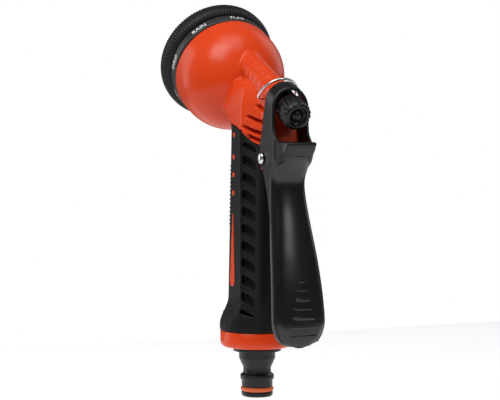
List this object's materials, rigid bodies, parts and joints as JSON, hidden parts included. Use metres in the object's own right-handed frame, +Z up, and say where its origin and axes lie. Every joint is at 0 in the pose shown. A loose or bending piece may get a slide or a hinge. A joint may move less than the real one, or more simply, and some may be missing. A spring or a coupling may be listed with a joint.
{
  "type": "hose spray nozzle",
  "caption": "Pistol hose nozzle with a ribbed dial head, rear squeeze lever, flow knob, wire hold-open bail and quick-connect inlet plug.",
  "frame": {"origin": "centre of the inlet plug's end face, where the hose coupling pushes on", "axes": "+Z up along the inlet and the handle, spray leaves towards -Y and 25 degrees upwards, the squeeze lever is on the +Y side"},
  "size_m": [0.062, 0.119, 0.1996],
  "materials": {
    "orange_plastic": "smooth injection-moulded plastic",
    "black_plastic": "fine-grained plastic",
    "black_gloss": "smooth plastic",
    "grip_rubber": "matt soft overmould",
    "seal_rubber": "matt",
    "orange_rubber": "matt",
    "steel": "bright plated steel",
    "brass": "turned",
    "pale_plastic": "natural acetal"
  },
  "bodies": {
    "body": {"body": "orange_plastic", "grip_sleeve": "grip_rubber", "inlet_connector": "black_plastic", "inlet_washer": "seal_rubber", "connector_oring": "orange_rubber", "lever_pin": "steel", "valve_seat": "brass", "gland_nut": "black_plastic", "stem_oring": "seal_rubber", "stem_spring": "steel", "dial_seal": "seal_rubber", "dial_seal_spring": "steel", "detent_ball": "steel", "detent_spring": "steel", "dial_screw": "steel"},
    "dial": {"dial_back_plate": "pale_plastic", "dial_gasket": "seal_rubber", "dial_housing": "black_plastic", "dial_grip": "grip_rubber", "dial_face_plate": "black_plastic"},
    "lever": {"trigger_lever": "black_gloss"},
    "stem": {"valve_stem": "brass", "valve_seal": "seal_rubber"},
    "knob": {"flow_knob": "black_plastic"},
    "bail": {"hold_open_bail": "steel"}
  },
  "joints": [
    {"name": "dial_turn", "type": "hinge", "parent": "body", "child": "dial", "pos_m": [0, -0.0391, 0.1657], "axis": [0, -0.9063, 0.4226], "continuous": true},
    {"name": "trigger_squeeze", "type": "hinge", "parent": "body", "child": "lever", "pos_m": [0, 0.0272, 0.122], "axis": [-1, 0, 0], "range_deg": [0, 11], "stiffness_Nm_per_rad": 2, "springref_deg": -6.88},
    {"name": "stem_pull", "type": "slide", "parent": "body", "child": "stem", "axis": [0, 0.9063, -0.4226], "range_m": [0, 0.0054], "deforming": ["stem_spring"]},
    {"name": "knob_turn", "type": "hinge", "parent": "stem", "child": "knob", "pos_m": [0, 0.03974, 0.14549], "axis": [0, 0.9063, -0.4226], "range_deg": [-540, 540]},
    {"name": "bail_swing", "type": "hinge", "parent": "body", "child": "bail", "pos_m": [0, 0.0213, 0.1514], "axis": [1, 0, 0], "range_deg": [0, 50]}
  ],
  "couplings": [
    {"joint": "stem_pull", "follows": "trigger_squeeze", "m_per_rad": 0.0272}
  ]
}
